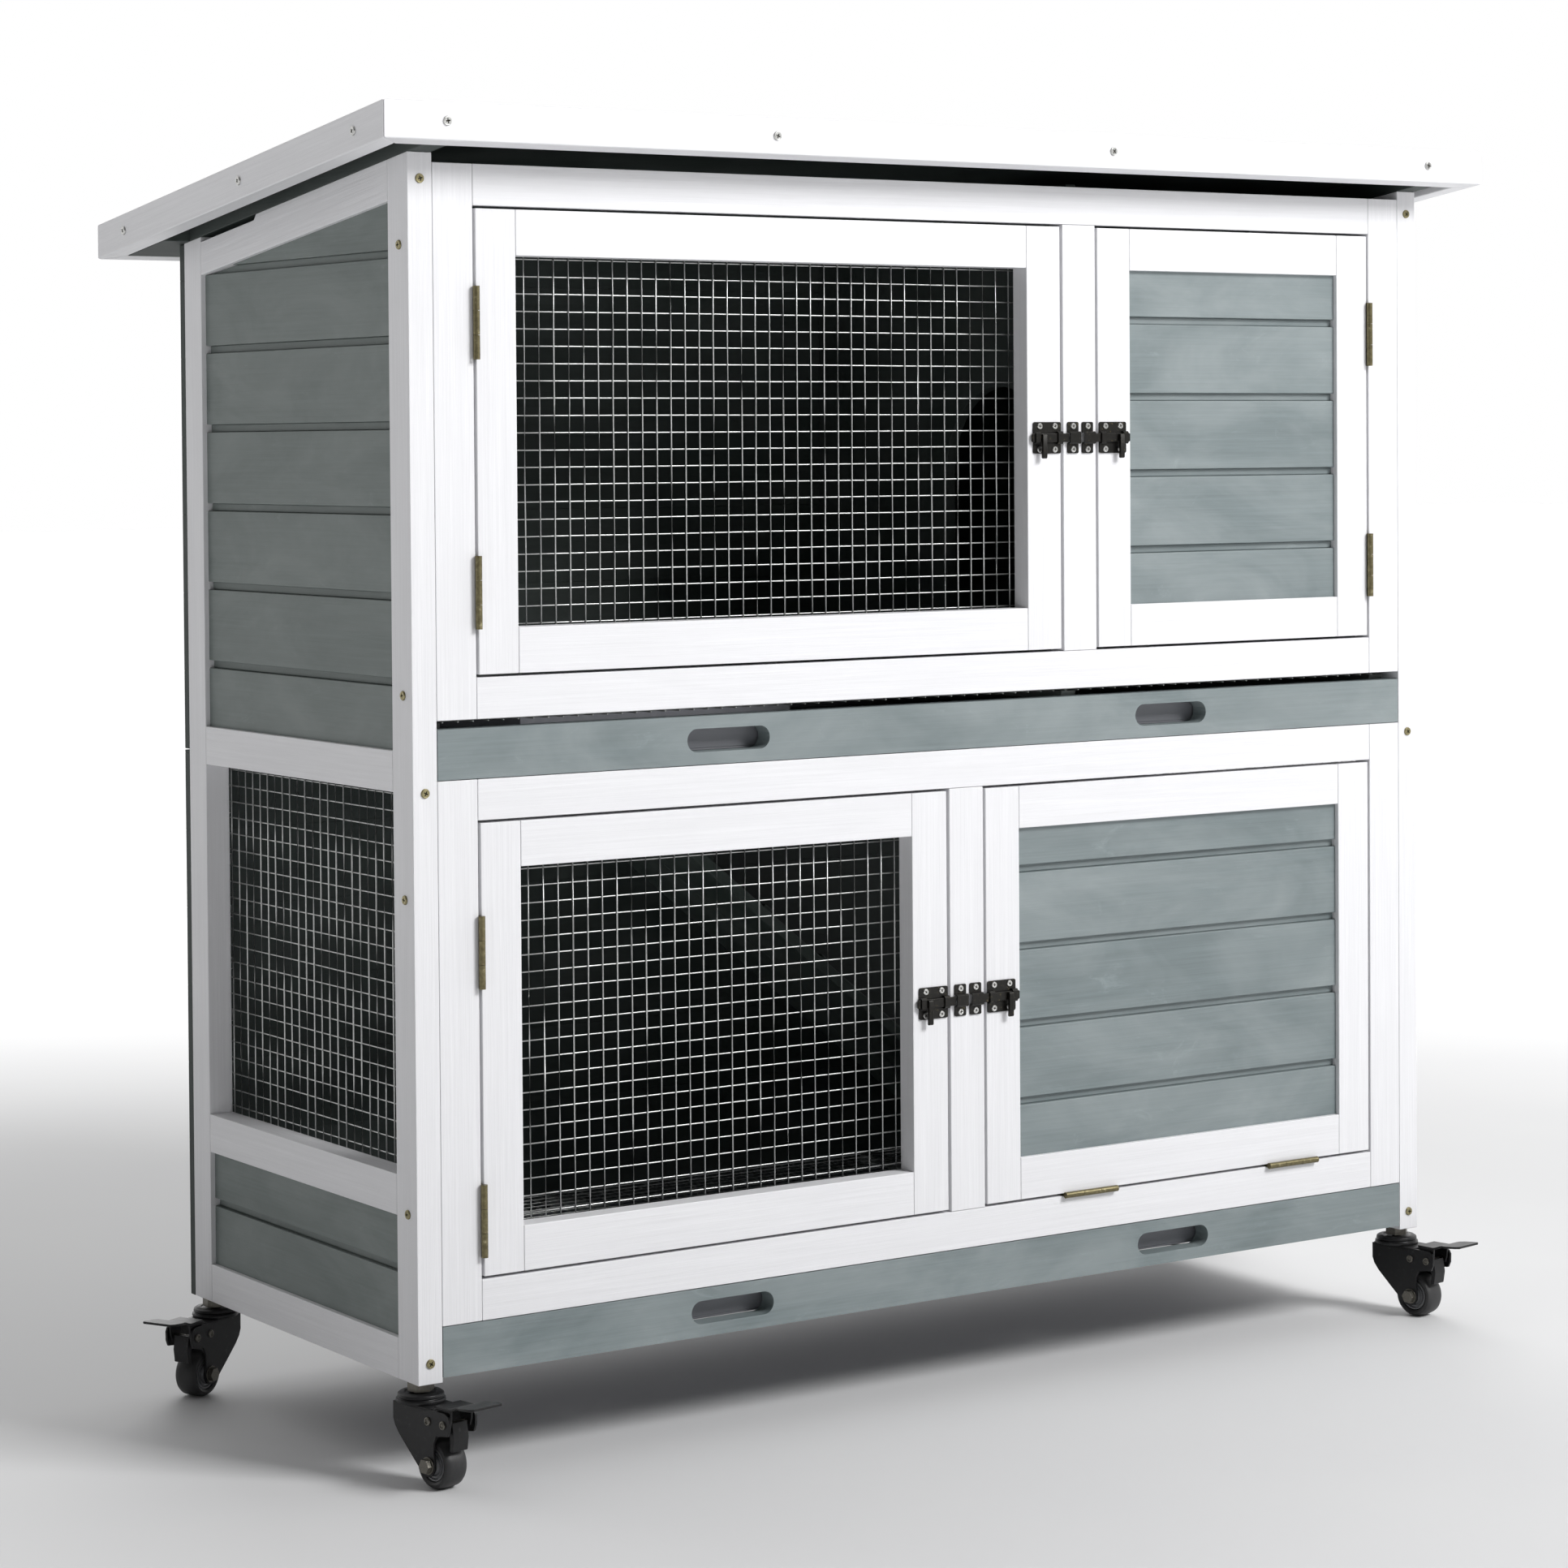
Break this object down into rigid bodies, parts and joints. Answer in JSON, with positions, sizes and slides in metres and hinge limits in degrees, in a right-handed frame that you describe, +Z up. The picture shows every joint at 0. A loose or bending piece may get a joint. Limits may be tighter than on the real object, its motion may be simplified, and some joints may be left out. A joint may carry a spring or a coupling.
{
  "type": "rabbit hutch",
  "caption": "Two-storey timber rabbit hutch on braked casters, with wire-mesh and plank doors, a fold-down ramp door, slide-out trays, an inner ramp and a hinged sloping roof.",
  "frame": {"origin": "on the ground, at the middle of the whole object's bounding box", "axes": "+X to the right seen from the front, +Y from the front to the back, +Z up"},
  "size_m": [1.0982, 0.5102, 0.9908],
  "materials": {
    "white_timber": "satin white paint, fine brush marks",
    "grey_green_boards": "matt grey-green wood paint, faint grain",
    "dark_back_boards": "matt dark green-grey wood stain",
    "inner_timber": "matt pale grey-green wood paint",
    "ramp_board": "matt dark green wood stain",
    "galvanised_wire": "dull galvanised zinc",
    "tray_sheet": "matt grey sheet, fine scratches",
    "roof_felt": "mineral felt, fine grit",
    "bronze_hinges": "dull bronze plate",
    "black_latches": "satin black, light edge wear",
    "yellow_zinc_screws": "yellow zinc plate",
    "bright_steel": "bright zinc plate",
    "caster_steel": "satin black",
    "caster_wheels": "black rubber tread on a grey hub"
  },
  "bodies": {
    "hutch": {"left_side_frame": "white_timber", "right_side_frame": "white_timber", "left_side_planks": "grey_green_boards", "right_side_planks": "grey_green_boards", "left_side_mesh": "galvanised_wire", "right_side_mesh": "galvanised_wire", "upper_front_frame": "white_timber", "lower_front_frame": "white_timber", "back_upper_panel": "dark_back_boards", "back_lower_panel": "dark_back_boards", "floor_runners": "inner_timber", "upper_floor_mesh": "galvanised_wire", "lower_floor_mesh": "galvanised_wire", "room_divider": "inner_timber", "inner_ramp": "ramp_board", "frame_screws": "yellow_zinc_screws", "fixed_hinge_leaves": "bronze_hinges", "latch_keepers": "black_latches", "caster_stems": "bright_steel"},
    "upper_left_door": {"upper_left_door_frame": "white_timber", "upper_left_door_mesh": "galvanised_wire", "upper_left_door_hinges": "bronze_hinges", "upper_left_latch_plate": "black_latches"},
    "upper_left_bolt": {"upper_left_bolt": "black_latches"},
    "upper_right_door": {"upper_right_door_frame": "white_timber", "upper_right_door_planks": "grey_green_boards", "upper_right_door_hinges": "bronze_hinges", "upper_right_latch_plate": "black_latches"},
    "upper_right_bolt": {"upper_right_bolt": "black_latches"},
    "lower_left_door": {"lower_left_door_frame": "white_timber", "lower_left_door_mesh": "galvanised_wire", "lower_left_door_hinges": "bronze_hinges", "lower_left_latch_plate": "black_latches"},
    "lower_left_bolt": {"lower_left_bolt": "black_latches"},
    "ramp_door": {"ramp_door_frame": "white_timber", "ramp_door_planks": "grey_green_boards", "ramp_door_hinges": "bronze_hinges", "ramp_door_latch_plate": "black_latches"},
    "ramp_door_bolt": {"ramp_door_bolt": "black_latches"},
    "upper_tray": {"upper_tray_front": "grey_green_boards", "upper_tray_pan": "tray_sheet"},
    "lower_tray": {"lower_tray_front": "grey_green_boards", "lower_tray_pan": "tray_sheet"},
    "roof": {"roof_fascia": "white_timber", "roof_deck": "dark_back_boards", "roof_felt": "roof_felt", "roof_screws": "bright_steel", "roof_hinge_leaves": "bronze_hinges"},
    "front_left_caster": {"front_left_fork": "caster_steel"},
    "front_left_roller": {"front_left_wheel": "caster_wheels"},
    "front_left_brake": {"front_left_pedal": "caster_steel"},
    "front_right_caster": {"front_right_fork": "caster_steel"},
    "front_right_roller": {"front_right_wheel": "caster_wheels"},
    "front_right_brake": {"front_right_pedal": "caster_steel"},
    "rear_left_caster": {"rear_left_fork": "caster_steel"},
    "rear_left_roller": {"rear_left_wheel": "caster_wheels"},
    "rear_left_brake": {"rear_left_pedal": "caster_steel"},
    "rear_right_caster": {"rear_right_fork": "caster_steel"},
    "rear_right_roller": {"rear_right_wheel": "caster_wheels"},
    "rear_right_brake": {"rear_right_pedal": "caster_steel"}
  },
  "joints": [
    {"name": "upper_left_door_hinge", "type": "hinge", "parent": "hutch", "child": "upper_left_door", "pos_m": [-0.431, -0.19547, 0.75075], "axis": [0, 0, -1], "range_deg": [0, 170]},
    {"name": "upper_left_bolt_slide", "type": "slide", "parent": "upper_left_door", "child": "upper_left_bolt", "axis": [1, 0, 0], "range_m": [0, 0.012]},
    {"name": "upper_right_door_hinge", "type": "hinge", "parent": "hutch", "child": "upper_right_door", "pos_m": [0.431, -0.19547, 0.75075], "axis": [0, 0, 1], "range_deg": [0, 170]},
    {"name": "upper_right_bolt_slide", "type": "slide", "parent": "upper_right_door", "child": "upper_right_bolt", "axis": [-1, 0, 0], "range_m": [0, 0.012]},
    {"name": "lower_left_door_hinge", "type": "hinge", "parent": "hutch", "child": "lower_left_door", "pos_m": [-0.431, -0.19547, 0.31025], "axis": [0, 0, -1], "range_deg": [0, 170]},
    {"name": "lower_left_bolt_slide", "type": "slide", "parent": "lower_left_door", "child": "lower_left_bolt", "axis": [1, 0, 0], "range_m": [0, 0.012]},
    {"name": "ramp_door_hinge", "type": "hinge", "parent": "hutch", "child": "ramp_door", "pos_m": [0.22775, -0.19547, 0.1445], "axis": [-1, 0, 0], "range_deg": [-112, 0]},
    {"name": "ramp_door_bolt_slide", "type": "slide", "parent": "ramp_door", "child": "ramp_door_bolt", "axis": [-1, 0, 0], "range_m": [0, 0.012]},
    {"name": "upper_tray_slide", "type": "slide", "parent": "hutch", "child": "upper_tray", "axis": [0, -1, 0], "range_m": [0, 0.3]},
    {"name": "lower_tray_slide", "type": "slide", "parent": "hutch", "child": "lower_tray", "axis": [0, -1, 0], "range_m": [0, 0.3]},
    {"name": "roof_hinge", "type": "hinge", "parent": "hutch", "child": "roof", "pos_m": [0, 0.18813, 0.90507], "axis": [-1, 0, 0], "range_deg": [0, 70]},
    {"name": "front_left_swivel", "type": "hinge", "parent": "hutch", "child": "front_left_caster", "pos_m": [-0.475, -0.17767, 0.062], "axis": [0, 0, 1], "continuous": true},
    {"name": "front_left_axle", "type": "hinge", "parent": "front_left_caster", "child": "front_left_roller", "pos_m": [-0.47083, -0.20131, 0.018], "axis": [0.9848, 0.1736, 0], "continuous": true},
    {"name": "front_left_brake_pin", "type": "hinge", "parent": "front_left_caster", "child": "front_left_brake", "pos_m": [-0.46788, -0.21805, 0.05], "axis": [0.9848, 0.1736, 0], "range_deg": [0, 4]},
    {"name": "front_right_swivel", "type": "hinge", "parent": "hutch", "child": "front_right_caster", "pos_m": [0.475, -0.17767, 0.062], "axis": [0, 0, 1], "continuous": true},
    {"name": "front_right_axle", "type": "hinge", "parent": "front_right_caster", "child": "front_right_roller", "pos_m": [0.47917, -0.20131, 0.018], "axis": [0.9848, 0.1736, 0], "continuous": true},
    {"name": "front_right_brake_pin", "type": "hinge", "parent": "front_right_caster", "child": "front_right_brake", "pos_m": [0.48212, -0.21805, 0.05], "axis": [0.9848, 0.1736, 0], "range_deg": [0, 4]},
    {"name": "rear_left_swivel", "type": "hinge", "parent": "hutch", "child": "rear_left_caster", "pos_m": [-0.475, 0.16233, 0.062], "axis": [0, 0, 1], "continuous": true},
    {"name": "rear_left_axle", "type": "hinge", "parent": "rear_left_caster", "child": "rear_left_roller", "pos_m": [-0.49619, 0.15106, 0.018], "axis": [0.4695, -0.8829, 0], "continuous": true},
    {"name": "rear_left_brake_pin", "type": "hinge", "parent": "rear_left_caster", "child": "rear_left_brake", "pos_m": [-0.5112, 0.14308, 0.05], "axis": [0.4695, -0.8829, 0], "range_deg": [0, 4]},
    {"name": "rear_right_swivel", "type": "hinge", "parent": "hutch", "child": "rear_right_caster", "pos_m": [0.475, 0.16233, 0.062], "axis": [0, 0, 1], "continuous": true},
    {"name": "rear_right_axle", "type": "hinge", "parent": "rear_right_caster", "child": "rear_right_roller", "pos_m": [0.49619, 0.15106, 0.018], "axis": [0.4695, 0.8829, 0], "continuous": true},
    {"name": "rear_right_brake_pin", "type": "hinge", "parent": "rear_right_caster", "child": "rear_right_brake", "pos_m": [0.5112, 0.14308, 0.05], "axis": [0.4695, 0.8829, 0], "range_deg": [0, 4]}
  ]
}
